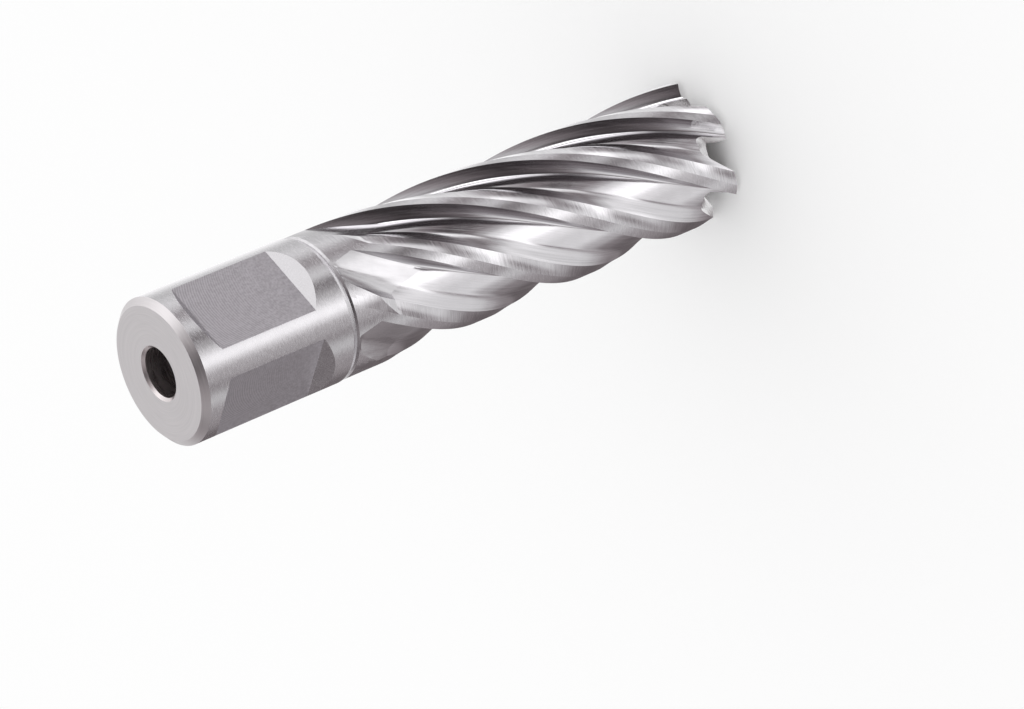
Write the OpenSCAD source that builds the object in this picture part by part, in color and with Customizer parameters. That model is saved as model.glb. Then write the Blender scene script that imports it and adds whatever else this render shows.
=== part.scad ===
// Annular cutter: a hollow end-cutting drill turned and milled from one bar of high-speed steel.
// It stands on its teeth: the tooth tips lie at z = 0 and the shank points up along +Z.
// A right-hand helix with clockwise cutting, seen from the shank end.

/* [Shank] */
// Diameter of the parallel shank
shank_d = 19.05; // [18.5:0.05:20]
// Length of the shank, from its end face to the relief groove
shank_len = 22.3; // [20:0.1:30]
// Chamfer of the end face, measured along the axis
chamfer_len = 0.8; // [0.4:0.05:1.2]
// Chamfer of the end face, measured across
chamfer_w = 0.87; // [0.4:0.01:1.2]

/* [Drive flats] */
// Depth of each flat below the surface of the shank
flat_depth = 1.625; // [1:0.025:2.2]
// Gap from the end face to the floor of a flat
flat_top_gap = 4; // [3:0.1:6]
// Gap from the floor of a flat to the relief groove
flat_low_gap = 4.3; // [3:0.1:6]
// Slope of the ramp at both ends of a flat
flat_ramp = 45; // [35:1:60]
// Angle between the two flats
flat_spread = 90; // [80:5:120]

/* [Pilot bore] */
// Diameter of the pilot pin that slides in the bore
pilot_pin_d = 6.35; // [5:0.05:8]
// Running clearance of the pin, across
pilot_clear = 0.1; // [0.05:0.01:0.3]
// Width of the chamfer at the mouth of the bore
pilot_chamfer = 0.36; // [0.1:0.02:0.8]

/* [Relief groove] */
// Width of the groove between shank and body
groove_w = 1; // [0.5:0.1:2]
// Depth of the groove
groove_depth = 0.25; // [0.1:0.05:0.6]

/* [Cutting body] */
// Cutting diameter, measured over the lands at the teeth
cutter_d = 19; // [18:0.1:22]
// Length of the body, from the groove to the tooth tips
body_len = 63.35; // [56:0.05:80]
// Radius lost from the teeth up to the groove
back_taper = 0.08; // [0:0.01:0.15]
// Solid stretch between the groove and the core hollow
core_neck = 10; // [8:0.5:14]
// Wall left between a flute floor and the core hollow
web = 1.5; // [1.2:0.05:2.4]
// Angle of the cone that closes the core hollow, from the axis
core_cone = 59; // [45:1:75]

/* [Flutes] */
// Number of flutes and teeth
flute_count = 6; // [4:2:8]
// Lead of the helix
helix_lead = 105; // [90:1:160]
// Depth of the flutes
flute_depth = 1.75; // [1.2:0.05:2.2]
// Angle that a land takes up
land_deg = 20; // [14:0.5:24]
// Angle of the full-diameter margin at the front of a land
margin_deg = 8.7; // [5:0.1:10]
// Relief of the land behind its margin
land_relief = 13.8; // [10:0.1:16]
// Angle over which the front wall of a flute curves down to its floor
wall_deg = 10.5; // [8:0.5:13]
// Angle over which the back of a flute falls to its floor
back_deg = 22; // [16:0.5:24]
// Power of the curve at the back of a flute
back_power = 1.7; // [1.4:0.1:2.2]
// Distance from the groove to the upper end of the full land relief
runout_gap = 5.7; // [4:0.1:9]
// Distance by which the ramp at the upper end of a flute starts earlier at the front wall
runout_lead = 7.1; // [4:0.1:9]
// Slope of the ramp at the upper end of a flute
runout_slope = 10.1; // [8:0.1:16]
// Skew of that ramp across the flute, in millimetres per degree
runout_skew = 0.205; // [0:0.005:0.25]
// Turn of a cutting edge at the tips, measured from the first flat
tooth_turn = 33.5; // [0:0.5:59.5]

/* [Teeth] */
// Drop from the tips to the outer corner of the teeth that are highest at the middle
mid_outer_drop = 1.1; // [0.5:0.05:1.4]
// Drop from the tips to the inner corner of those teeth
mid_inner_drop = 1.05; // [0.4:0.05:1.4]
// Drop from the tips to the outer corner of the teeth in between
flat_outer_drop = 0.65; // [0.2:0.05:1]
// Drop from the tips to the middle of the teeth in between
flat_middle_drop = 0.75; // [0.2:0.05:1]
// Drop from the tips to the inner corner of the teeth in between
flat_inner_drop = 0.2; // [0.1:0.05:0.8]
// Relief of the tooth ends behind their cutting edges
end_relief = 6; // [4:0.5:9]
// Depth of a gullet at the flute floor
gullet_depth = 5.05; // [4:0.05:7]
// Slope of the gullet floor, down towards the outside
gullet_slope = 57; // [35:1:60]
// Angle from a land's front edge to the cutting face of its gullet
gullet_front = 8.6; // [7:0.1:12]
// Angle by which that face falls back at the core hollow
gullet_lean = 2.5; // [0:0.1:5]
// Angle from a land's front edge to the far end of the gullet floor
gullet_floor = 29; // [26:0.5:31]
// Angle that the front corner of the gullet floor is rounded over
gullet_round = 12; // [6:0.5:14]
// Height of that rounded corner at the flute floor
gullet_round_h = 1.6; // [0.8:0.1:2]

/* [Hidden] */
steel = [0.75, 0.75, 0.77];
$fn = 96;

total_len = shank_len + groove_w + body_len;
shank_r = shank_d / 2;
flat_reach = shank_r - flat_depth;
cut_r = cutter_d / 2;
neck_r = cut_r - back_taper;
floor_r = cut_r - flute_depth;
core_r = floor_r - web;
pilot_r = (pilot_pin_d + pilot_clear) / 2;
core_top = body_len - core_neck;

pitch = 360 / flute_count;
twist = 360 / helix_lead;
trail_at = land_deg - pitch;
margin_at = margin_deg - pitch;
chord_at = margin_at + land_relief;
chord_r = cut_r * cos(land_relief);
floor_back = trail_at + back_deg;
floor_mid = (floor_back - wall_deg) / 2;
runout_top = body_len - runout_gap;
runout_tan = tan(runout_slope);
tooth_kinds = [
    [flat_inner_drop, flat_middle_drop, flat_outer_drop],
    [mid_inner_drop, 0, mid_outer_drop]
];

// Angle past a land's edges to which the cuts reach, and how far they stand off the body
over_deg = 2.7;
wall_over = 0.35;
over = 1.2;
outer_r = max(cut_r, shank_r) + 2 * over;

back_steps = 7;
wall_steps = 5;
groove_steps = 8;
row_step = 3;
ramp_row_step = 1.6;
ramp_low = ramp_start(wall_over);
ramp_high = runout_top + (flute_depth + over / 4) / runout_tan;

function polar(r, a, z) = [r * cos(a), r * sin(a), z];

// Radius of the straight relief behind a margin, at angle u from the front edge of the next land
function chord(u) = chord_r / cos(u - chord_at);

// Section of a flute as [angle, radius] pairs, from the relief of one land to the front edge of the next
function flute_section() = concat(
    [[margin_at - over_deg, chord(margin_at - over_deg)]],
    [for (i = [0 : back_steps]) let (s = i / back_steps)
        [trail_at + s * back_deg, floor_r + (chord(trail_at) - floor_r) * pow(1 - s, back_power)]],
    [for (i = [wall_steps : -1 : 0]) let (a = 90 * i / wall_steps)
        [-wall_deg * (1 - cos(a)), cut_r - flute_depth * sin(a)]],
    [[wall_over, cut_r + over / 2]]
);

// Height at which the ramp at the upper end of a flute starts, at angle u
function ramp_start(u) = min(runout_top, runout_top - runout_lead - runout_skew * u);

// Rise of that ramp at height z
function ramp_rise(u, z) = max(0, z - ramp_start(u)) * runout_tan;

// Radius of the flute surface: the front wall stands until the ramp passes it, the rest rises with the ramp
function flute_r(p, z) = min(
    cut_r + over,
    p[0] > floor_mid ? max(p[1], floor_r + ramp_rise(p[0], z)) : p[1] + ramp_rise(p[0], z)
);

// Faces of a tube of stacked rings, closed at both ends
function tube_faces(ring, rows) = concat(
    [[for (i = [ring - 1 : -1 : 0]) i]],
    [[for (i = [0 : ring - 1]) (rows - 1) * ring + i]],
    [for (j = [0 : rows - 2], i = [0 : ring - 1], half = [0, 1])
        let (n = (i + 1) % ring, a = j * ring, b = a + ring)
        half == 0 ? [a + i, a + n, b + n] : [a + i, b + n, b + i]]
);

// One flute, for the land whose front edge leaves the tips at the given turn
module flute_cut(turn) {
    section = flute_section();
    rim = [for (u = [wall_over, (wall_over + trail_at) / 2, trail_at, margin_at - over_deg]) [u, outer_r]];
    low_rows = ceil((ramp_low + over) / row_step);
    high_rows = ceil((ramp_high - ramp_low) / ramp_row_step);
    heights = concat(
        [for (j = [0 : low_rows - 1]) -over + (ramp_low + over) * j / low_rows],
        [for (j = [0 : high_rows]) ramp_low + (ramp_high - ramp_low) * j / high_rows]
    );
    points = [for (z = heights) each concat(
        [for (p = section) polar(flute_r(p, z), turn + p[0] + twist * z, z)],
        [for (p = rim) polar(p[1], turn + p[0] + twist * z, z)]
    )];
    polyhedron(points, tube_faces(len(section) + len(rim), len(heights)));
}

// Height of a tooth's end face at angle u and radius r, from its drops at the core, the middle and the rim
function tooth_end(u, r, drops) =
    drops[1]
    + (r > floor_r ? (drops[2] - drops[1]) * (r - floor_r) / flute_depth
                   : (drops[0] - drops[1]) * (floor_r - r) / web)
    + tan(end_relief) * r * (u + gullet_front) * PI / 180;

// Angle of the cutting face at radius r
function cutting_face(r) = -gullet_front - gullet_lean * max(0, floor_r - r) / web;

// Height of the gullet floor at radius r
function gullet_top(r) = gullet_depth - tan(gullet_slope) * max(0, floor_r - r);

// One pitch of the tooth ends as [angle, height] pairs at radius r, from the tooth ahead to this land
function end_profile(r, drops, drops_ahead) =
    let (top = gullet_top(r), back_h = tooth_end(land_deg, r, drops_ahead), front = cutting_face(r))
    let (rise = gullet_round_h * (top - tooth_end(front, r, drops)) / gullet_depth)
    concat(
        [for (t = [1, 0.72, 0.45, 0.2, 0]) let (u = -gullet_floor + t * (trail_at + gullet_floor))
            [u, top + (back_h - top) * pow(t, 1.5)]],
        [for (a = [90, 60, 38, 18, 0])
            [front - gullet_round * (1 - cos(a)), top - rise * (1 - sin(a))]],
        [[front + wall_over, tooth_end(front + wall_over, r, drops)]],
        [[land_deg / 3, tooth_end(land_deg / 3, r, drops)]]
    );

// Everything below the tooth ends and inside the gullets, all round
module tooth_ends_cut() {
    radii = [core_r - over / 2, floor_r, cut_r + over / 2];
    ends = [for (r = radii) [for (k = [0 : flute_count - 1]) each
        [for (p = end_profile(r, tooth_kinds[k % 2], tooth_kinds[(k + 1) % 2]))
            [tooth_turn + k * pitch + p[0], p[1]]]]];
    ring = len(ends[0]);
    count = len(radii);
    top = [for (b = [0 : count - 1]) each [for (p = ends[b]) polar(radii[b], p[0] + twist * p[1], p[1])]];
    bottom = [for (b = [0 : count - 1]) each
        [for (p = ends[b]) polar(radii[b], p[0] - twist * over, -over)]];
    low = ring * count;
    out = ring * (count - 1);
    faces = [for (a = [0 : ring - 1]) let (n = (a + 1) % ring) each concat(
        [for (b = [0 : count - 2]) let (i = b * ring, o = i + ring) each
            [[i + a, i + n, o + n], [i + a, o + n, o + a],
             [low + i + a, low + o + n, low + i + n], [low + i + a, low + o + a, low + o + n]]],
        [[low + a, low + n, n], [low + a, n, a],
         [low + out + a, out + a, out + n], [low + out + a, out + n, low + out + n]]
    )];
    polyhedron(concat(top, bottom), faces);
}

// Body of revolution: shank with end chamfer, relief groove and slightly tapered cutting body
module turned_blank() {
    groove = [for (i = [0 : groove_steps]) let (a = 180 * i / groove_steps, w = groove_w / 2)
        [(shank_r + neck_r) / 2 + (neck_r - shank_r) / 2 * cos(a) - groove_depth * sin(a),
         body_len + w - w * cos(a)]];
    rotate_extrude()
        polygon(concat(
            [[0, 0], [cut_r, 0]],
            groove,
            [[shank_r, total_len - chamfer_len], [shank_r - chamfer_w, total_len], [0, total_len]]
        ));
}

// One drive flat with a ramp at each end, facing the given direction
module flat_cut(direction) {
    rise = flat_depth + over;
    run = rise / tan(flat_ramp);
    low = body_len + groove_w + flat_low_gap;
    high = total_len - flat_top_gap;
    rotate([0, 0, direction])
        translate([0, shank_d, 0])
            rotate([90, 0, 0])
                linear_extrude(2 * shank_d)
                    polygon([[flat_reach, low], [flat_reach + rise, low - run],
                             [flat_reach + rise, high + run], [flat_reach, high]]);
}

// Core hollow with its cone, the pilot bore above it and the chamfered mouth of that bore
module bores_cut() {
    translate([0, 0, -over])
        cylinder(h = core_top + over, r = core_r);
    translate([0, 0, core_top])
        cylinder(h = core_r / tan(core_cone), r1 = core_r, r2 = 0);
    cylinder(h = total_len + over, r = pilot_r);
    translate([0, 0, total_len - pilot_chamfer])
        cylinder(h = pilot_chamfer + over, r1 = pilot_r, r2 = pilot_r + pilot_chamfer + over);
}

module annular_cutter() {
    color(steel)
        difference() {
            turned_blank();
            for (k = [0 : flute_count - 1])
                flute_cut(tooth_turn + k * pitch);
            tooth_ends_cut();
            flat_cut(0);
            flat_cut(-flat_spread);
            bores_cut();
        }
}

annular_cutter();
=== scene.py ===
"""Annular cutter of ground high-speed steel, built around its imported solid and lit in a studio."""

import logging
import math
from dataclasses import dataclass, field
from enum import Enum, IntEnum

import bpy
import numpy as np
from mathutils import Matrix


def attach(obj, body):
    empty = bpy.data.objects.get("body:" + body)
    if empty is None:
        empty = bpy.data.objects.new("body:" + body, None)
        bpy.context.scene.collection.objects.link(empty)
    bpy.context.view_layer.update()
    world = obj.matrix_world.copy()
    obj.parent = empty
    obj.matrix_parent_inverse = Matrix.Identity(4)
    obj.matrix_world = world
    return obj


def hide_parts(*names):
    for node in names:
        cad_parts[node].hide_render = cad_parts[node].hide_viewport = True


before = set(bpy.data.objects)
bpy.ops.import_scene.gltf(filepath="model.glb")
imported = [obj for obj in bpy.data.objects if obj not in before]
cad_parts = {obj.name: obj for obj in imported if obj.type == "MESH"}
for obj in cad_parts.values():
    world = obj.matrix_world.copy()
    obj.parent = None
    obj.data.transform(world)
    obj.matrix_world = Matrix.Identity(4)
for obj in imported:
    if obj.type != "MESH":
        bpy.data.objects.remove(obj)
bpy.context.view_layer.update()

LOG = logging.getLogger("annular_cutter")
# A millimetre in metres.
MM = 0.001
# Points that are closer than this are one point of a seam.
SEAM_MM = 0.0001
# Degrees by which a grid column may lie off an edge.
ANGLE_PLAY = 1e-6
# Least number that is divided by.
NOT_ZERO = 1e-9

Tree = bpy.types.NodeTree
Socket = bpy.types.NodeSocket
Triple = tuple[float, float, float]


class Skin(Enum):
    """The finishes that the surfaces of the cutter carry; the value is the material slot."""

    SHANK = 0
    MARGIN = 1
    RELIEF = 2
    FLUTE = 3
    FLAT = 4
    FACE = 5
    TOOTH = 6
    BORE = 7
    FLAT_END = 8
    RUNOUT = 9


class Marks(Enum):
    """The way in which the marks of the tool run over a surface."""

    AROUND = "round the axis"
    HELIX = "along the flutes"
    RINGS = "as rings on an end face"
    ARCS = "as arcs of a face mill"


class RangeSlot(IntEnum):
    """Inputs of a Map Range node that works on vectors, which share their names with others."""

    VECTOR = 6
    FROM_MIN = 7
    FROM_MAX = 8
    TO_MIN = 9
    TO_MAX = 10


class MixSlot(IntEnum):
    """Inputs and output of a Mix node that works on colours, which share their names with others."""

    A = 6
    B = 7
    RESULT = 2


def feed(tree: Tree, slot: Socket, value: Socket | float | tuple[float, ...]) -> None:
    """Links a socket to a node's input, or gives the input a plain value.

    Args:
        tree: The nodes.
        slot: The input.
        value: The socket, number, vector or colour.
    """
    if isinstance(value, Socket):
        tree.links.new(value, slot)
    else:
        slot.default_value = value


def calculate(tree: Tree, operation: str, *values: Socket | float) -> Socket:
    """Adds a Math node.

    Args:
        tree: The nodes.
        operation: The node's operation.
        values: Its inputs in their order.

    Returns:
        The socket with the result.
    """
    node = tree.nodes.new("ShaderNodeMath")
    node.operation = operation
    for slot, value in zip(node.inputs, values):
        feed(tree, slot, value)
    return node.outputs[0]


def combine(tree: Tree, operation: str, first: Socket, second: Socket | Triple) -> Socket:
    """Adds a Vector Math node on two vectors.

    Args:
        tree: The nodes.
        operation: The node's operation.
        first: The first vector.
        second: The second vector.

    Returns:
        The socket with the resulting vector.
    """
    node = tree.nodes.new("ShaderNodeVectorMath")
    node.operation = operation
    feed(tree, node.inputs[0], first)
    feed(tree, node.inputs[1], second)
    return node.outputs["Vector"]


def rescale(tree: Tree, value: Socket, source: tuple[float, float],
            target: tuple[float, float] = (0.0, 1.0), way: str = "LINEAR") -> Socket:
    """Adds a Map Range node on a number.

    Args:
        tree: The nodes.
        value: The number.
        source: Range that the number comes from.
        target: Range that it is brought to, and kept in.
        way: The node's interpolation.

    Returns:
        The socket with the result.
    """
    node = tree.nodes.new("ShaderNodeMapRange")
    node.interpolation_type = way
    feed(tree, node.inputs["Value"], value)
    for name, limit in zip(("From Min", "From Max", "To Min", "To Max"), (*source, *target)):
        feed(tree, node.inputs[name], limit)
    return node.outputs["Result"]


def turned(tree: Tree, vector: Socket, angle: Socket | float) -> Socket:
    """Adds a node that turns a vector round the vertical.

    Args:
        tree: The nodes.
        vector: The vector.
        angle: The turn in radians.

    Returns:
        The socket with the turned vector.
    """
    node = tree.nodes.new("ShaderNodeVectorRotate")
    node.rotation_type = "Z_AXIS"
    feed(tree, node.inputs["Vector"], vector)
    feed(tree, node.inputs["Angle"], angle)
    return node.outputs["Vector"]


def along(tree: Tree, vector: Socket) -> bpy.types.NodeOutputs:
    """Adds a node that splits a vector.

    Args:
        tree: The nodes.
        vector: The vector.

    Returns:
        The sockets X, Y and Z.
    """
    node = tree.nodes.new("ShaderNodeSeparateXYZ")
    feed(tree, node.inputs["Vector"], vector)
    return node.outputs


def mixed(tree: Tree, share: Socket, first: Socket | tuple[float, ...], second: Socket) -> Socket:
    """Adds a node that mixes two colours.

    Args:
        tree: The nodes.
        share: Share of the second colour.
        first: The first colour.
        second: The second colour.

    Returns:
        The socket with the mixed colour.
    """
    node = tree.nodes.new("ShaderNodeMix")
    node.data_type = "RGBA"
    feed(tree, node.inputs["Factor"], share)
    feed(tree, node.inputs[MixSlot.A], first)
    feed(tree, node.inputs[MixSlot.B], second)
    return node.outputs[MixSlot.RESULT]


@dataclass(frozen=True)
class Steel:
    """One finish of the bare steel: its tone, its gloss and the marks of the tool that made it.

    The marks are fine_mm apart and long_mm long. Patches of patch_mm make the gloss uneven, by
    patch_share of what the marks do. A mill leaves arcs of mill_r_mm, mill_feed_mm apart, round a centre
    that travels along the flat. Their strength goes through mill_strength between the two heights of
    mill_fade_mm.
    """

    name: str
    marks: Marks
    tone: Triple = (0.647, 0.632, 0.652)
    roughness: float = 0.28
    spread: float = 0.06
    shade: float = 0.06
    fine_mm: float = 0.15
    long_mm: float = 2.0
    patch_mm: float = 1.5
    patch_share: float = 0.3
    depth_mm: float = 0.004
    bump: float = 0.3
    line_detail: float = 3.0
    patch_detail: float = 2.0
    wander_detail: float = 1.0
    gloss_range: tuple[float, float] = (0.5, 0.9)
    shade_range: tuple[float, float] = (0.3, 0.7)
    mill_r_mm: float = 12.0
    mill_feed_mm: float = 0.33
    mill_centre_mm: Triple = (3.6, 0.0, 0.0)
    mill_fade_mm: tuple[float, float] = (71.0, 80.0)
    mill_strength: tuple[float, float] = (0.02, 0.24)
    mill_wander: float = 9.0

    def material(self, twist: float) -> bpy.types.Material:
        """Makes the node material of this finish.

        Args:
            twist: Turn of the flutes in degrees per millimetre, for marks that run along them.

        Returns:
            The finished material.
        """
        mat = bpy.data.materials.new(self.name)
        mat.use_nodes = True
        tree = mat.node_tree
        shader = tree.nodes["Principled BSDF"]
        shader.inputs["Metallic"].default_value = 1.0
        coords = tree.nodes.new("ShaderNodeTexCoord").outputs["Object"]
        lines = self.noise(tree, self.track(tree, coords, twist), self.line_detail)
        if self.marks is Marks.ARCS:
            lines = self.mill_arcs(tree, coords, lines)
        patches = self.noise(tree, self.scaled(tree, coords, (self.patch_mm,) * 3), self.patch_detail)
        uneven = calculate(tree, "MULTIPLY_ADD", patches, self.patch_share, lines)
        gloss = rescale(
            tree, uneven, self.gloss_range, (self.roughness - self.spread, self.roughness + self.spread))
        feed(tree, shader.inputs["Roughness"], gloss)
        feed(tree, shader.inputs["Base Color"], self.shaded(tree, lines))
        feed(tree, shader.inputs["Normal"], self.scratches(tree, lines))
        return mat

    def shaded(self, tree: Tree, lines: Socket) -> Socket:
        """Colour of the steel, darker and paler along its marks.

        Args:
            tree: The material's nodes.
            lines: The marks.

        Returns:
            The socket with the colour.
        """
        low, high = self.shade_range
        node = tree.nodes.new("ShaderNodeMapRange")
        node.data_type = "FLOAT_VECTOR"
        feed(tree, node.inputs[RangeSlot.VECTOR], lines)
        feed(tree, node.inputs[RangeSlot.FROM_MIN], (low,) * 3)
        feed(tree, node.inputs[RangeSlot.FROM_MAX], (high,) * 3)
        feed(tree, node.inputs[RangeSlot.TO_MIN], tuple(c * (1 - self.shade) for c in self.tone))
        feed(tree, node.inputs[RangeSlot.TO_MAX], tuple(c * (1 + self.shade) for c in self.tone))
        return node.outputs["Vector"]

    def scratches(self, tree: Tree, lines: Socket) -> Socket:
        """Normal of the surface with its marks as fine scratches.

        Args:
            tree: The material's nodes.
            lines: The marks.

        Returns:
            The socket with the normal.
        """
        node = tree.nodes.new("ShaderNodeBump")
        feed(tree, node.inputs["Strength"], self.bump)
        feed(tree, node.inputs["Distance"], self.depth_mm * MM)
        feed(tree, node.inputs["Height"], lines)
        return node.outputs["Normal"]

    def track(self, tree: Tree, coords: Socket, twist: float) -> Socket:
        """Coordinates that change fast across the marks and slowly along them.

        Args:
            tree: The material's nodes.
            coords: Object coordinates.
            twist: Turn of the flutes in degrees per millimetre.

        Returns:
            The socket with the coordinates.
        """
        fine, long = self.fine_mm, self.long_mm
        if self.marks is Marks.AROUND:
            return self.scaled(tree, coords, (long, long, fine))
        if self.marks is Marks.HELIX:
            turn = calculate(tree, "MULTIPLY", along(tree, coords)["Z"], -math.radians(twist) / MM)
            return self.scaled(tree, turned(tree, coords, turn), (fine, fine, long))
        if self.marks is Marks.ARCS:
            return self.scaled(tree, coords, (fine, fine, fine))
        ring = tree.nodes.new("ShaderNodeCombineXYZ")
        feed(tree, ring.inputs["X"], self.off_axis(tree, coords))
        wander = self.scaled(tree, coords, (long, long, long))
        return combine(tree, "ADD", self.scaled(tree, ring.outputs["Vector"], (fine, fine, fine)), wander)

    def mill_arcs(self, tree: Tree, coords: Socket, grain: Socket) -> Socket:
        """Adds the arcs of a travelling mill to a flat's grain, strongest near the shank's end.

        Args:
            tree: The material's nodes.
            coords: Object coordinates.
            grain: The grain of the flat.

        Returns:
            The socket with grain and arcs.
        """
        centre = tuple(c * MM for c in self.mill_centre_mm)
        away = self.off_axis(tree, combine(tree, "SUBTRACT", coords, centre))
        square = calculate(tree, "MULTIPLY", away, away)
        bow = calculate(tree, "SQRT", calculate(tree, "SUBTRACT", (self.mill_r_mm * MM) ** 2, square))
        height = along(tree, coords)["Z"]
        travel = calculate(tree, "SUBTRACT", height, bow)
        turns = calculate(tree, "MULTIPLY", travel, 2 * math.pi / (self.mill_feed_mm * MM))
        wander = self.noise(tree, self.scaled(tree, coords, (self.long_mm,) * 3), self.wander_detail)
        wave = calculate(tree, "SINE", calculate(tree, "MULTIPLY_ADD", wander, self.mill_wander, turns))
        low, high = self.mill_fade_mm
        strength = rescale(tree, height, (low * MM, high * MM), self.mill_strength)
        return calculate(tree, "MULTIPLY_ADD", wave, strength, grain)

    @staticmethod
    def off_axis(tree: Tree, coords: Socket) -> Socket:
        """Distance from the vertical through the origin of the coordinates.

        Args:
            tree: The material's nodes.
            coords: The coordinates.

        Returns:
            The socket with the distance.
        """
        node = tree.nodes.new("ShaderNodeVectorMath")
        node.operation = "LENGTH"
        feed(tree, node.inputs[0], combine(tree, "MULTIPLY", coords, (1.0, 1.0, 0.0)))
        return node.outputs["Value"]

    @staticmethod
    def scaled(tree: Tree, coords: Socket, sizes: Triple) -> Socket:
        """Coordinates in units of their own along each axis.

        Args:
            tree: The material's nodes.
            coords: Coordinates in metres.
            sizes: The units in millimetres.

        Returns:
            The socket with the coordinates.
        """
        node = tree.nodes.new("ShaderNodeMapping")
        feed(tree, node.inputs["Scale"], tuple(1.0 / (size * MM) for size in sizes))
        feed(tree, node.inputs["Vector"], coords)
        return node.outputs["Vector"]

    @staticmethod
    def noise(tree: Tree, coords: Socket, detail: float) -> Socket:
        """Noise of unit size.

        Args:
            tree: The material's nodes.
            coords: The coordinates that it lies on.
            detail: Number of finer layers.

        Returns:
            The socket with the noise.
        """
        node = tree.nodes.new("ShaderNodeTexNoise")
        feed(tree, node.inputs["Scale"], 1.0)
        feed(tree, node.inputs["Detail"], detail)
        feed(tree, node.inputs["Vector"], coords)
        return node.outputs["Fac"]


FINISHES: dict[Skin, Steel] = {
    Skin.SHANK: Steel(
        "ground_shank", Marks.AROUND,
        roughness=0.25, spread=0.045, shade=0.11, fine_mm=0.09, long_mm=0.55, bump=0.24,
    ),
    Skin.MARGIN: Steel(
        "ground_margin", Marks.AROUND,
        roughness=0.23, spread=0.04, shade=0.11, fine_mm=0.09, long_mm=0.7, bump=0.2,
    ),
    Skin.RELIEF: Steel(
        "ground_relief", Marks.AROUND, tone=(0.605, 0.591, 0.61),
        roughness=0.15, spread=0.035, shade=0.12, fine_mm=0.18, long_mm=2.2, bump=0.1,
    ),
    Skin.FLUTE: Steel(
        "ground_flute", Marks.HELIX,
        roughness=0.145, shade=0.1, fine_mm=0.24, long_mm=14.0, bump=0.4,
    ),
    Skin.FLAT: Steel(
        "milled_flat", Marks.ARCS, tone=(0.43, 0.409, 0.435),
        roughness=0.45, shade=0.15, fine_mm=0.3, long_mm=3.0, bump=0.4,
    ),
    Skin.FLAT_END: Steel(
        "milled_flat_end", Marks.AROUND,
        roughness=0.24, fine_mm=0.6, long_mm=0.15, bump=0.1,
    ),
    Skin.RUNOUT: Steel(
        "ground_runout", Marks.HELIX, tone=(0.61, 0.597, 0.614),
        roughness=0.19, fine_mm=0.25, long_mm=12.0, bump=0.35,
    ),
    Skin.FACE: Steel(
        "turned_face", Marks.RINGS, tone=(0.651, 0.622, 0.633),
        roughness=0.34, fine_mm=0.12, long_mm=3.0, bump=0.12,
    ),
    # The tooth faces are given a paler tone than the rest of the same steel. This is a painted sheen that
    # stands in for the brighter reflection on their gullet faces.
    Skin.TOOTH: Steel(
        "ground_tooth_painted_sheen", Marks.AROUND, tone=(0.74, 0.73, 0.738),
        roughness=0.24, fine_mm=0.2, long_mm=1.0, bump=0.07,
    ),
    Skin.BORE: Steel(
        "reamed_bore", Marks.AROUND, tone=(0.7, 0.65, 0.652),
        roughness=0.3, fine_mm=0.3, long_mm=4.0, bump=0.1,
    ),
}


def only(obj: bpy.types.Object) -> None:
    """Leaves one object selected and active.

    Args:
        obj: The object.
    """
    bpy.ops.object.select_all(action="DESELECT")
    obj.select_set(True)
    bpy.context.view_layer.objects.active = obj


def rolled_grid(name: str, rings: np.ndarray) -> bpy.types.Object:
    """Lays a grid primitive over rings of points and closes it, the last ring joined to the first.

    Args:
        name: Name of the new object.
        rings: Points in millimetres, shaped (rings, columns, 3); the columns run round once.

    Returns:
        The new object, with outward faces and its seams merged.
    """
    sheet = np.concatenate([rings, rings[:, :1]], axis=1)
    sheet = np.concatenate([sheet, sheet[:1]], axis=0)
    rows, columns = sheet.shape[0] - 1, sheet.shape[1] - 1
    bpy.ops.object.select_all(action="DESELECT")
    bpy.ops.mesh.primitive_grid_add(x_subdivisions=columns, y_subdivisions=rows, size=1)
    obj = bpy.context.object
    obj.name = name
    obj.data.name = name
    obj.data.vertices.foreach_set("co", (sheet * MM).astype(np.float32).ravel())
    bpy.ops.object.mode_set(mode="EDIT")
    bpy.ops.mesh.select_all(action="SELECT")
    bpy.ops.mesh.remove_doubles(threshold=SEAM_MM * MM)
    bpy.ops.mesh.normals_make_consistent(inside=False)
    bpy.ops.object.mode_set(mode="OBJECT")
    return obj


def cut_away(obj: bpy.types.Object, tool: bpy.types.Object) -> None:
    """Cuts a tool out of an object with an applied Boolean modifier and removes the tool.

    Args:
        obj: The object that is cut.
        tool: The shape of what goes, which leaves its finish on the cut.
    """
    only(obj)
    mod = obj.modifiers.new("cut", "BOOLEAN")
    mod.operation = "DIFFERENCE"
    mod.solver = "EXACT"
    mod.material_mode = "TRANSFER"
    mod.object = tool
    bpy.ops.object.modifier_apply(modifier=mod.name)
    bpy.data.objects.remove(tool)


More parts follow.
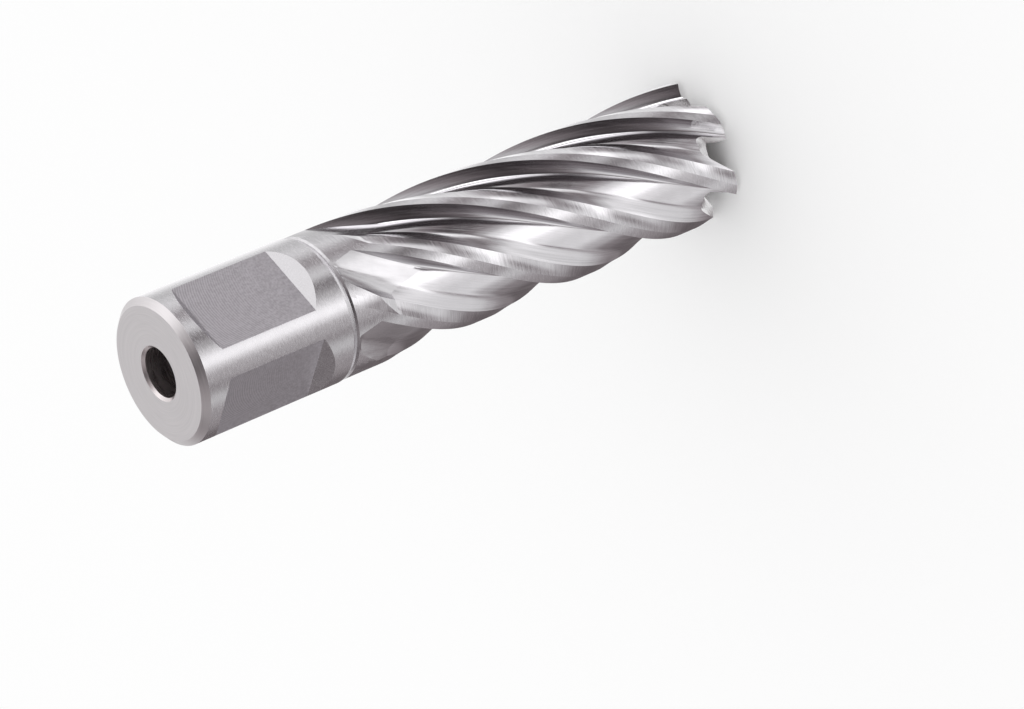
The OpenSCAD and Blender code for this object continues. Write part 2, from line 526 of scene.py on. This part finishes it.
@dataclass
class CutterForm:
    """Sizes and section laws of the cutter, in millimetres and degrees, tooth tips at height zero.

    A pitch starts at the front edge of a land, whose margin is round and whose relief is flat. Behind it
    the flute's back falls to the floor, which gets deeper by floor_slope a degree as far as the foot of
    the next land's wall. The run-outs take their length from a flute of even depth, floor_r, with a back
    of ramp_back.
    """

    shank_r: float = 9.525
    shank_len: float = 22.3
    chamfer_len: float = 0.8
    chamfer_w: float = 0.87
    groove_w: float = 1.0
    groove_depth: float = 0.32
    groove_land: float = 0.26
    body_len: float = 63.35
    cut_r: float = 9.5
    back_taper: float = 0.08
    core_r: float = 6.25
    core_neck: float = 10.0
    core_cone: float = 59.0
    pilot_r: float = 3.225
    pilot_chamfer: float = 0.36
    flutes: int = 6
    lead: float = 105.0
    turn: float = 33.5
    floor_r: float = 7.75
    foot_r: float = 7.58
    floor_slope: float = 0.02
    land: float = 20.0
    margin: float = 8.7
    relief: float = 17.8
    wall: float = 5.0
    back: float = 15.0
    back_power: float = 1.7
    ramp_back: float = 22.0
    runout_gap: float = 6.2
    runout_lead: float = 7.1
    runout_slope: float = 10.1
    runout_skew: float = 0.205
    blank_low: float = -1.3

    @property
    def total_len(self) -> float:
        """Height of the whole cutter."""
        return self.body_len + self.groove_w + self.shank_len

    @property
    def pitch(self) -> float:
        """Angle from one flute to the next."""
        return 360.0 / self.flutes

    @property
    def twist(self) -> float:
        """Turn of the flutes in degrees per millimetre of height."""
        return 360.0 / self.lead

    def body_r(self, z: np.ndarray) -> np.ndarray:
        """Radius of the full lands at height z, less towards the shank."""
        return self.cut_r - self.back_taper * np.clip(z, 0.0, self.body_len) / self.body_len

    def place(self, angle: np.ndarray, r: np.ndarray, z: np.ndarray) -> np.ndarray:
        """Points at an angle measured along the helix, a radius and a height.

        Args:
            angle: Angle from the first cutting edge, in degrees.
            r: Radius.
            z: Height; the helix stops turning at the relief groove.

        Returns:
            Points with a last axis of three coordinates.
        """
        turn = np.radians(self.turn + angle + self.twist * np.minimum(z, self.body_len))
        return np.stack(np.broadcast_arrays(r * np.cos(turn), r * np.sin(turn), z), axis=-1)


@dataclass
class FlutedBlank:
    """The turned blank with its ground flutes, before flats and teeth are cut.

    Steps count the grid's columns and rows its rings on each stretch. The plays are how far, in
    millimetres, a face may lie off the full lands, the core or the end face and still count as theirs.
    """

    form: CutterForm
    margin_steps: int = 5
    relief_steps: int = 4
    back_steps: int = 18
    floor_steps: int = 6
    wall_steps: int = 22
    body_rows: int = 96
    ramp_rows: int = 22
    neck_rows: int = 6
    groove_rows: int = 8
    shank_rows: int = 13
    face_rows: int = 6
    bore_rows: int = 8
    core_rows: int = 39
    groove_power: float = 1.3
    least_neck: float = 0.02
    least_ramp: float = 0.01
    land_play: float = 0.006
    core_play: float = 0.05
    face_play: float = 0.001

    def columns(self) -> tuple[np.ndarray, np.ndarray, np.ndarray, np.ndarray]:
        """Angles of the grid columns over one pitch, with the flute section and the run-out's law at each.

        Returns:
            Angles from the front edge of a land, radii of the flute section, radii at which the run-out
            starts, and how far along the cutter the run-out takes to leave the body.
        """
        form = self.form
        mid = form.margin + form.relief
        chord = form.cut_r * math.cos(math.radians(form.relief))
        trail_r = chord / math.cos(math.radians(form.land - mid))
        wall_start = form.pitch - form.wall
        margin = np.linspace(0.0, form.margin, self.margin_steps, endpoint=False)
        relief = np.linspace(form.margin, form.land, self.relief_steps, endpoint=False)
        flute = np.concatenate([
            np.linspace(form.land, form.land + form.ramp_back, self.back_steps, endpoint=False),
            np.linspace(form.land + form.ramp_back, wall_start, self.floor_steps, endpoint=False),
        ])
        quarter = np.radians(np.linspace(90.0, 0.0, self.wall_steps, endpoint=False))
        slope = form.foot_r + form.floor_slope * (wall_start - flute)
        edge = trail_r - form.foot_r - form.floor_slope * (wall_start - form.land)
        curve = slope + edge * np.clip(1 - (flute - form.land) / form.back, 0, 1) ** form.back_power
        fall = np.clip(1 - (flute - form.land) / form.ramp_back, 0, 1) ** form.back_power
        even = form.floor_r + (trail_r - form.floor_r) * fall
        full = np.full(margin.shape, form.cut_r)
        flat = chord / np.cos(np.radians(relief - mid))
        wall = form.cut_r - (form.cut_r - form.foot_r) * np.sin(quarter)
        angle = np.concatenate([margin, relief, flute, form.pitch - form.wall * (1 - np.cos(quarter))])
        radius = np.concatenate([full, flat, curve, wall])
        foot = np.concatenate([full, flat, curve, np.full(wall.shape, form.foot_r)])
        climb = form.cut_r - np.concatenate([full, flat, even, np.full(wall.shape, form.floor_r)])
        return angle, radius, foot, climb / math.tan(math.radians(form.runout_slope))

    def bends(self) -> tuple[np.ndarray, np.ndarray, np.ndarray, np.ndarray, np.ndarray]:
        """Where the run-outs start, bend out of the flute and leave the body, for each column.

        The run-out leaves the flute along straight lines, as a wheel that is drawn out of the cut does.

        Returns:
            Heights of the start, the bend and the end, and the two factors of the run-out's squared radius.
        """
        form = self.form
        angle, radius, foot, run = self.columns()
        top = form.body_len - form.runout_gap
        start = np.minimum(top, top - form.runout_lead - form.runout_skew * (angle - form.pitch))
        land = angle < form.margin - ANGLE_PLAY
        edge = start[-1] + run[-1]
        across = edge + (top - edge) * angle / form.margin
        lean = np.cos(np.radians(form.twist * run))
        square = foot**2 + form.cut_r**2 - 2 * foot * form.cut_r * lean
        line = foot * (form.cut_r * lean - foot)
        root = np.sqrt(np.maximum(0.0, line**2 + square * (radius**2 - foot**2)))
        leaves = (root - line) / np.maximum(square, NOT_ZERO)
        limit = form.body_len - self.least_neck
        bend = np.minimum(np.where(land, across, start + leaves * run), limit - self.least_ramp)
        leave = np.minimum(np.where(land, across, start + run), limit)
        return start, bend, leave, line, square

    def outside(self) -> tuple[np.ndarray, np.ndarray, np.ndarray]:
        """Rows of the fluted body from the teeth to the neck, with rows on every bend of the run-outs.

        Returns:
            Column angles over one pitch, and the radii and heights of the grid points.
        """
        form = self.form
        angle, radius, foot, run = self.columns()
        start, bend, leave, line, square = self.bends()
        low = form.blank_low
        up_body = np.linspace(0.0, 1.0, self.body_rows, endpoint=False)[:, None]
        up_ramp = np.linspace(0.0, 1.0, self.ramp_rows, endpoint=False)[:, None]
        up_neck = np.linspace(0.0, 1.0, self.neck_rows + 1)[:, None]
        z = np.concatenate([
            low + (bend - low) * up_body,
            bend + (leave - bend) * up_ramp,
            leave + (form.body_len - leave) * up_neck,
        ])
        share = np.clip((z - start) / np.maximum(run, NOT_ZERO), 0.0, 1.0)
        ramp = np.sqrt(np.maximum(0.0, foot**2 + 2 * line * share + square * share**2))
        out = (z > bend) & (angle > form.margin - ANGLE_PLAY)
        r = np.where(out, np.maximum(radius, ramp), radius) * form.body_r(z) / form.cut_r
        neck = self.body_rows + self.ramp_rows
        r[neck:] = form.body_r(z[neck:])
        return angle, np.minimum(r, form.body_r(z)), z

    def profile(self) -> list[tuple[float, float]]:
        """Outline of all that is round, from the groove over the shank and the end face down to the core.

        Returns:
            Pairs of radius and height.
        """
        form = self.form
        top = form.total_len
        deep = form.shank_r - form.groove_depth
        floor_z = form.body_len + form.groove_land
        rim_r = form.shank_r - form.chamfer_w
        mouth = form.pilot_r + form.pilot_chamfer
        core_top = form.body_len - form.core_neck
        cone_top = core_top + (form.core_r - form.pilot_r) / math.tan(math.radians(form.core_cone))
        share = np.linspace(0.0, 1.0, self.groove_rows + 1)
        groove_r = deep + form.groove_depth * share ** self.groove_power
        groove_z = floor_z + (form.groove_w - form.groove_land) * share
        shank_low = form.body_len + form.groove_w
        shank_z = np.linspace(shank_low, top - form.chamfer_len, self.shank_rows + 1)[1:]
        face_r = np.linspace(rim_r, mouth, self.face_rows + 1)
        bore_z = np.linspace(form.body_len, cone_top, self.bore_rows + 1)
        core_z = np.linspace(core_top, form.blank_low, self.core_rows + 1)
        return [
            *zip(groove_r, groove_z),
            *((form.shank_r, z) for z in shank_z),
            *((r, top) for r in face_r),
            (form.pilot_r, top - form.pilot_chamfer),
            *((form.pilot_r, z) for z in bore_z),
            *((form.core_r, z) for z in core_z),
        ]

    def build(self) -> bpy.types.Object:
        """Models the closed blank and gives every face its finish.

        Returns:
            The blank.
        """
        form = self.form
        angle, r, z = self.outside()
        turns = np.concatenate([angle + form.pitch * k for k in range(form.flutes)])
        body = form.place(turns, np.tile(r, (1, form.flutes)), np.tile(z, (1, form.flutes)))
        profile = np.array(self.profile())
        round_part = form.place(turns[None, :], profile[:, :1], profile[:, 1:])
        obj = rolled_grid("annular_cutter_steel", np.concatenate([body, round_part]))
        for skin in Skin:
            obj.data.materials.append(FINISHES[skin].material(form.twist))
        self.dress(obj)
        LOG.info("blank: %d faces", len(obj.data.polygons))
        return obj

    def dress(self, obj: bpy.types.Object) -> None:
        """Gives each face of the blank the finish of the surface that it lies on.

        Args:
            obj: The blank.
        """
        form = self.form
        mesh = obj.data
        count = len(mesh.polygons)
        mid = np.empty(count * 3, np.float32)
        mesh.polygons.foreach_get("center", mid)
        mid = mid.reshape(-1, 3) / MM
        r = np.hypot(mid[:, 0], mid[:, 1])
        z = mid[:, 2]
        helix = form.turn + form.twist * np.minimum(z, form.body_len)
        angle = np.mod(np.degrees(np.arctan2(mid[:, 1], mid[:, 0])) - helix, form.pitch)
        skin = np.full(count, Skin.FLUTE.value, np.int32)
        full = r > form.body_r(z) - self.land_play
        skin[(angle < form.land) & ~full] = Skin.RELIEF.value
        columns = self.columns()[0]
        bend = np.interp(angle, np.append(columns, form.pitch), np.append(self.bends()[1], form.body_len))
        skin[(angle > form.land) & ~full & (z > bend)] = Skin.RUNOUT.value
        skin[full] = Skin.MARGIN.value
        skin[full & (z > form.body_len - form.runout_gap)] = Skin.SHANK.value
        skin[z > form.body_len] = Skin.SHANK.value
        skin[z > form.total_len - form.chamfer_len] = Skin.FACE.value
        inside = r < form.core_r + self.core_play
        skin[inside] = Skin.BORE.value
        skin[inside & (z > form.total_len - self.face_play)] = Skin.FACE.value
        mesh.polygons.foreach_set("material_index", skin)


@dataclass
class DriveFlats:
    """The two flats that the holder's set screws press on.

    The block that is cut away is half_width wide to each side and stands over past the shank. Its ends,
    whose unit normals have more than ramp_normal along the axis, leave the ramps.
    """

    form: CutterForm
    depth: float = 1.625
    top_gap: float = 4.0
    low_gap: float = 4.3
    ramp: float = 45.0
    directions: tuple[float, float] = (0.0, -90.0)
    half_width: float = 12.0
    over: float = 1.2
    ramp_normal: float = 0.3

    def corner(self, inner: bool, upper: bool, side: float) -> Triple:
        """Corner of the block that is cut away, which is longer outside so that its ends are ramps.

        Args:
            inner: Whether the corner lies on the flat.
            upper: Whether it lies towards the end face.
            side: A number with the sign of the corner's side.

        Returns:
            The corner in metres, for a flat that faces along X.
        """
        form = self.form
        rise = 0.0 if inner else self.depth + self.over
        run = rise / math.tan(math.radians(self.ramp))
        low = form.body_len + form.groove_w + self.low_gap - run
        high = form.total_len - self.top_gap + run
        x = form.shank_r - self.depth + rise
        return x * MM, math.copysign(self.half_width, side) * MM, (high if upper else low) * MM

    def cut(self, obj: bpy.types.Object) -> None:
        """Mills both flats out of the shank.

        Args:
            obj: The blank.
        """
        for direction in self.directions:
            bpy.ops.object.select_all(action="DESELECT")
            bpy.ops.mesh.primitive_cube_add(size=1.0)
            tool = bpy.context.object
            for vert in tool.data.vertices:
                vert.co = self.corner(vert.co.x < 0, vert.co.z > 0, vert.co.y)
            only(tool)
            bpy.ops.object.mode_set(mode="EDIT")
            bpy.ops.mesh.select_all(action="SELECT")
            turn = -math.radians(direction)
            bpy.ops.transform.rotate(value=turn, orient_axis="Z", center_override=(0, 0, 0))
            bpy.ops.object.mode_set(mode="OBJECT")
            for skin in (Skin.FLAT, Skin.FLAT_END):
                tool.data.materials.append(obj.data.materials[skin.value])
            for face in tool.data.polygons:
                face.material_index = int(abs(face.normal.z) > self.ramp_normal)
            cut_away(obj, tool)


@dataclass
class ToothEnds:
    """Cutting edges, end relief and chip gullets at the lower end.

    Drops are how far a tooth's end lies above the tips at its inner edge, its middle and its outer edge.
    The radii are those of the rings of the grid that is cut away, which reaches down to tool_low.
    """

    form: CutterForm
    mid_drops: Triple = (1.05, 0.0, 1.1)
    flat_drops: Triple = (0.2, 0.75, 0.65)
    end_relief: float = 6.0
    gullet_depth: float = 5.05
    gullet_slope: float = 57.0
    front: float = 8.6
    lean: float = 2.5
    floor_end: float = 29.0
    floor_power: float = 1.5
    corner: float = 12.0
    corner_h: float = 1.6
    face_gap: float = 0.35
    floor_steps: int = 14
    corner_steps: int = 14
    end_steps: int = 7
    tool_low: float = -2.6
    radii: tuple[float, ...] = (5.65, 6.0, 6.25, 6.6, 7.0, 7.4, 7.75, 8.1, 8.5, 9.0, 9.5, 10.1)

    def end(self, angle: np.ndarray | float, r: np.ndarray, drops: Triple) -> np.ndarray:
        """Height of a tooth's end face.

        Args:
            angle: Angle from the front edge of the tooth's land.
            r: Radii.
            drops: Drops of the tooth.

        Returns:
            The height at each radius.
        """
        form = self.form
        outer = drops[1] + (drops[2] - drops[1]) * (r - form.floor_r) / (form.cut_r - form.floor_r)
        inner = drops[1] + (drops[0] - drops[1]) * (form.floor_r - r) / (form.floor_r - form.core_r)
        slope = math.tan(math.radians(self.end_relief)) * np.radians(angle + self.front) * r
        return np.where(r > form.floor_r, outer, inner) + slope

    def pitch_profile(self, drops: Triple, ahead: Triple) -> list[tuple[np.ndarray, np.ndarray]]:
        """Ends and gullet over one pitch, from the tooth ahead along the gullet to the tooth's own end.

        Args:
            drops: Drops of the tooth.
            ahead: Drops of the tooth ahead of it.

        Returns:
            Angles and heights, as pairs of arrays over the radii.
        """
        form = self.form
        r = np.array(self.radii)
        inward = np.maximum(0.0, form.floor_r - r)
        top = self.gullet_depth - math.tan(math.radians(self.gullet_slope)) * inward
        face = -self.front - self.lean * inward / (form.floor_r - form.core_r)
        behind = self.end(form.land, r, ahead)
        rise = self.corner_h * (top - self.end(-self.front, r, drops)) / self.gullet_depth
        trail = form.land - form.pitch
        out = []
        for share in np.linspace(1.0, 0.0, self.floor_steps + 1):
            angle = -self.floor_end + share * (trail + self.floor_end)
            out.append((np.full(r.shape, angle), top + (behind - top) * share ** self.floor_power))
        for turn in np.radians(np.linspace(90.0, 0.0, self.corner_steps + 1)):
            out.append((face - self.corner * (1 - math.cos(turn)), top - rise * (1 - math.sin(turn))))
        for share in np.linspace(0.0, 1.0, self.end_steps, endpoint=False):
            angle = (face + self.face_gap) * (1 - share) + form.land * share
            out.append((angle, self.end(angle, r, drops)))
        return out

    def cut(self, obj: bpy.types.Object) -> None:
        """Grinds the tooth ends and gullets out of the blank.

        Args:
            obj: The blank.
        """
        form = self.form
        r = np.array(self.radii)
        angles, heights = [], []
        for k in range(form.flutes):
            kinds = (self.flat_drops, self.mid_drops) if k % 2 == 0 else (self.mid_drops, self.flat_drops)
            for angle, height in self.pitch_profile(*kinds):
                angles.append(angle + form.pitch * k)
                heights.append(height)
        angle, height = np.array(angles).T, np.array(heights).T
        upper = form.place(angle, r[:, None], height)
        lower = form.place(angle, r[::-1, None], np.full(angle.shape, self.tool_low))
        tool = rolled_grid("tooth_ends", np.concatenate([upper, lower]))
        tool.data.materials.append(obj.data.materials[Skin.TOOTH.value])
        cut_away(obj, tool)


@dataclass
class AnnularCutter:
    """The whole cutter: blank, flats and teeth, as one piece that stands for the solid."""

    form: CutterForm = field(default_factory=CutterForm)
    smooth_below: float = 8.0

    def build(self) -> bpy.types.Object:
        """Models and dresses the cutter.

        Returns:
            The finished piece.
        """
        obj = FlutedBlank(self.form).build()
        DriveFlats(self.form).cut(obj)
        ToothEnds(self.form).cut(obj)
        only(obj)
        bpy.ops.object.shade_smooth_by_angle(angle=math.radians(self.smooth_below))
        self.crease(obj)
        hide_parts("annular_cutter")
        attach(obj, "root")
        LOG.info("cutter: %d faces", len(obj.data.polygons))
        return obj

    @staticmethod
    def crease(obj: bpy.types.Object) -> None:
        """Marks the edges between two finishes as sharp.

        Args:
            obj: The cutter, selected and active.
        """
        bpy.ops.object.mode_set(mode="EDIT")
        for skin in Skin:
            bpy.ops.mesh.select_mode(type="FACE")
            bpy.ops.mesh.select_all(action="DESELECT")
            obj.active_material_index = skin.value
            bpy.ops.object.material_slot_select()
            bpy.ops.mesh.region_to_loop()
            bpy.ops.mesh.mark_sharp()
        bpy.ops.object.mode_set(mode="OBJECT")


@dataclass(frozen=True)
class Panel:
    """Middle of a soft panel or a dark card that the steel mirrors: its bearing and its brightness."""

    turn: float
    level: float
    card_tint: Triple = (1.18, 1.0, 1.05)
    white_from: float = 0.7

    @property
    def share(self) -> float:
        """Place of the panel as a share of a whole turn that starts behind the cutter."""
        return (self.turn + 180.0) / 360.0

    def colour(self) -> tuple[float, ...]:
        """Colour of the panel: white cloth, or the warmer the darker a card is."""
        card = max(0.0, 1.0 - self.level / self.white_from)
        return tuple(self.level * (1.0 + card * (c - 1.0)) for c in self.card_tint)


@dataclass(frozen=True)
class Ring:
    """A ring of panels round the cutter.

    It takes over from the ring below between the two heights of its blend, in degrees. The lowest ring has
    none below and no blend.
    """

    blend: tuple[float, float] | None
    panels: tuple[Panel, ...]


@dataclass
class Studio:
    """Pale floor, soft light and the camera at the photograph's place.

    The camera looks back along a bearing and a height angle and is rolled. The panels' bearings are counted
    from panel_bearing, which is nearly the camera's.
    """

    camera_mm: Triple = (354.696, -226.001, 314.86)
    camera_bearing: float = -30.467
    camera_height: float = 33.26
    camera_roll: float = -113.766
    sensor_mm: float = 36.0
    focal_px: float = 3978.3
    width_px: int = 1024
    nearest: float = 0.01
    farthest: float = 20.0
    floor_size: float = 8.0
    floor_tone: Triple = (0.96, 0.96, 0.96)
    room_level: float = 1.03
    panel_bearing: float = -32.5
    rings: tuple[Ring, ...] = (
        Ring(None, (
            Panel(-180, 0.9), Panel(-110, 0.6), Panel(-55, 1.2), Panel(0, 1.6), Panel(55, 1.3),
            Panel(110, 1.0), Panel(180, 0.9),
        )),
        Ring((-70.5, -67.5), (
            Panel(-180, 0.3), Panel(-128, 0.25), Panel(-116, 0.38), Panel(-95, 0.65), Panel(-70, 0.88),
            Panel(-45, 0.94), Panel(0, 1.0), Panel(20, 1.1), Panel(45, 1.15), Panel(57, 0.82),
            Panel(77, 0.35), Panel(110, 0.7), Panel(180, 1.0),
        )),
        Ring((-60, -57.8), (
            Panel(-180, 0.2), Panel(-132, 0.2), Panel(-115, 0.36), Panel(-100, 0.58), Panel(-80, 0.86),
            Panel(-65, 0.94), Panel(-20, 1.0), Panel(9, 1.2), Panel(23, 1.05), Panel(36, 0.68),
            Panel(50, 0.4), Panel(70, 0.24), Panel(84, 0.3), Panel(105, 1.0), Panel(180, 1.0),
        )),
        Ring((-52.5, -48), (
            Panel(-180, 0.25), Panel(-130, 0.28), Panel(-88, 0.44), Panel(-66, 0.37), Panel(-42, 0.29),
            Panel(-33, 0.38), Panel(-11, 1.85), Panel(-1, 1.15), Panel(19, 0.38), Panel(31, 0.38),
            Panel(51, 1.4), Panel(63, 1.4), Panel(76, 1.5), Panel(90, 2.1), Panel(104, 2.1),
            Panel(126, 1.1), Panel(180, 1.0),
        )),
        Ring((-46.5, -43.4), (
            Panel(-180, 0.13), Panel(-134, 0.15), Panel(-114, 0.25), Panel(-93, 0.6), Panel(-72, 1.02),
            Panel(-50, 1.02), Panel(-30, 1.25), Panel(-9, 1.9), Panel(5, 1.65), Panel(16, 1.15),
            Panel(27, 0.58), Panel(37, 0.27), Panel(48, 0.13), Panel(60, 0.1), Panel(78, 0.26),
            Panel(94, 0.48), Panel(117, 1.1), Panel(156, 1.0), Panel(178, 1.3), Panel(180, 0.13),
        )),
        Ring((-38.5, -36.5), (
            Panel(-179, 0.15), Panel(-145, 0.16), Panel(-110, 0.37), Panel(-88, 0.42), Panel(-70, 0.78),
            Panel(-50, 0.28), Panel(-40, 0.53), Panel(-31, 0.47), Panel(-11, 1.72), Panel(9, 0.62),
            Panel(29, 0.15), Panel(45, 0.97), Panel(70, 0.36), Panel(94, 0.98), Panel(125, 0.72),
            Panel(160, 1.25), Panel(178, 1.4), Panel(180, 0.15),
        )),
        Ring((-24, -13), (
            Panel(-180, 0.8), Panel(-135, 0.8), Panel(-105, 1.25), Panel(-74, 0.9), Panel(-60, 0.62),
            Panel(-48, 0.38), Panel(-30, 0.14), Panel(-5, 0.06), Panel(14, 0.07), Panel(24, 0.75),
            Panel(34, 2.2), Panel(48, 2.6), Panel(68, 1.9), Panel(97, 1.2), Panel(180, 0.85),
        )),
        Ring((2, 4), (
            Panel(-180, 0.8), Panel(-135, 0.55), Panel(-105, 0.34), Panel(-64, 0.17), Panel(-36, 0.1),
            Panel(-18, 0.05), Panel(5, 0.04), Panel(24, 0.05), Panel(36, 0.18), Panel(46, 0.8),
            Panel(60, 1.6), Panel(97, 1.3), Panel(180, 0.85),
        )),
        Ring((9, 17), (
            Panel(-180, 0.8), Panel(-135, 0.36), Panel(-110, 0.16), Panel(-64, 0.12), Panel(-40, 0.04),
            Panel(-20, 0.09), Panel(0, 0.2), Panel(18, 0.38), Panel(30, 0.65), Panel(60, 1.0),
            Panel(97, 1.3), Panel(180, 0.8),
        )),
        Ring((26, 44), (
            Panel(-180, 0.78), Panel(-130, 0.64), Panel(-104, 0.52), Panel(-70, 0.34), Panel(-42, 0.13),
            Panel(-15, 0.03), Panel(30, 0.28), Panel(57, 0.6), Panel(78, 1.25), Panel(100, 1.6),
            Panel(150, 0.95), Panel(180, 0.78),
        )),
    )

    def camera(self) -> None:
        """Places the camera."""
        data = bpy.data.cameras.new("camera")
        data.sensor_width = self.sensor_mm
        data.lens = self.focal_px * self.sensor_mm / self.width_px
        data.clip_start = self.nearest
        data.clip_end = self.farthest
        obj = bpy.data.objects.new("camera", data)
        place = Matrix.Translation([c * MM for c in self.camera_mm])
        turn = Matrix.Rotation(math.radians(90.0 + self.camera_bearing), 4, "Z")
        tilt = Matrix.Rotation(math.radians(90.0 - self.camera_height), 4, "X")
        roll = Matrix.Rotation(math.radians(self.camera_roll), 4, "Z")
        obj.matrix_world = place @ turn @ tilt @ roll
        bpy.context.collection.objects.link(obj)
        bpy.context.scene.camera = obj

    def floor(self) -> None:
        """Lays the pale floor, which the steel doesn't mirror, as a glass table over the lower panels."""
        bpy.ops.object.select_all(action="DESELECT")
        bpy.ops.mesh.primitive_plane_add(size=self.floor_size)
        obj = bpy.context.object
        obj.name = "floor"
        obj.visible_glossy = False
        mat = bpy.data.materials.new("pale_floor")
        mat.use_nodes = True
        shader = mat.node_tree.nodes["Principled BSDF"]
        shader.inputs["Base Color"].default_value = (*self.floor_tone, 1)
        shader.inputs["Roughness"].default_value = 1.0
        shader.inputs["Specular IOR Level"].default_value = 0.0
        obj.data.materials.append(mat)

    def ring_light(self, tree: Tree, ring: Ring, share: Socket) -> Socket:
        """Light of a ring, which passes softly from panel to panel.

        Args:
            tree: The world's nodes.
            ring: The ring.
            share: Bearing of a ray as a share of a whole turn that starts behind the cutter.

        Returns:
            The socket with the light's colour.
        """
        node = tree.nodes.new("ShaderNodeValToRGB")
        node.color_ramp.interpolation = "EASE"
        stops = node.color_ramp.elements
        for panel in ring.panels[len(stops):]:
            stops.new(panel.share)
        for stop, panel in zip(stops, ring.panels):
            stop.position = panel.share
            stop.color = (*panel.colour(), 1)
        feed(tree, node.inputs["Fac"], share)
        return node.outputs["Color"]

    def world(self) -> None:
        """Fills the room with even white light, in which the steel mirrors a stack of rings of panels."""
        world = bpy.data.worlds.new("room")
        world.use_nodes = True
        tree = world.node_tree
        ray = tree.nodes.new("ShaderNodeTexCoord").outputs["Generated"]
        axes = along(tree, turned(tree, ray, -math.radians(self.panel_bearing)))
        share = rescale(tree, calculate(tree, "ARCTAN2", axes["Y"], axes["X"]), (-math.pi, math.pi))
        height = calculate(tree, "ARCSINE", axes["Z"])
        lowest, *others = self.rings
        seen = self.ring_light(tree, lowest, share)
        for ring in others:
            low, high = ring.blend
            above = rescale(tree, height, (math.radians(low), math.radians(high)), way="SMOOTHSTEP")
            seen = mixed(tree, above, seen, self.ring_light(tree, ring, share))
        glossy = tree.nodes.new("ShaderNodeLightPath").outputs["Is Glossy Ray"]
        light = mixed(tree, glossy, (self.room_level,) * 3 + (1,), seen)
        feed(tree, tree.nodes["Background"].inputs["Color"], light)
        bpy.context.scene.world = world

    def build(self) -> None:
        """Sets the whole studio up."""
        self.floor()
        self.world()
        self.camera()
        bpy.context.scene.view_settings.view_transform = "Standard"


def main() -> None:
    """Builds the cutter and its studio in order and reports each piece."""
    logging.basicConfig(level=logging.INFO)
    cutter = AnnularCutter().build()
    LOG.info("piece %s", cutter.name)
    Studio().build()


if __name__ == "__main__":
    main()
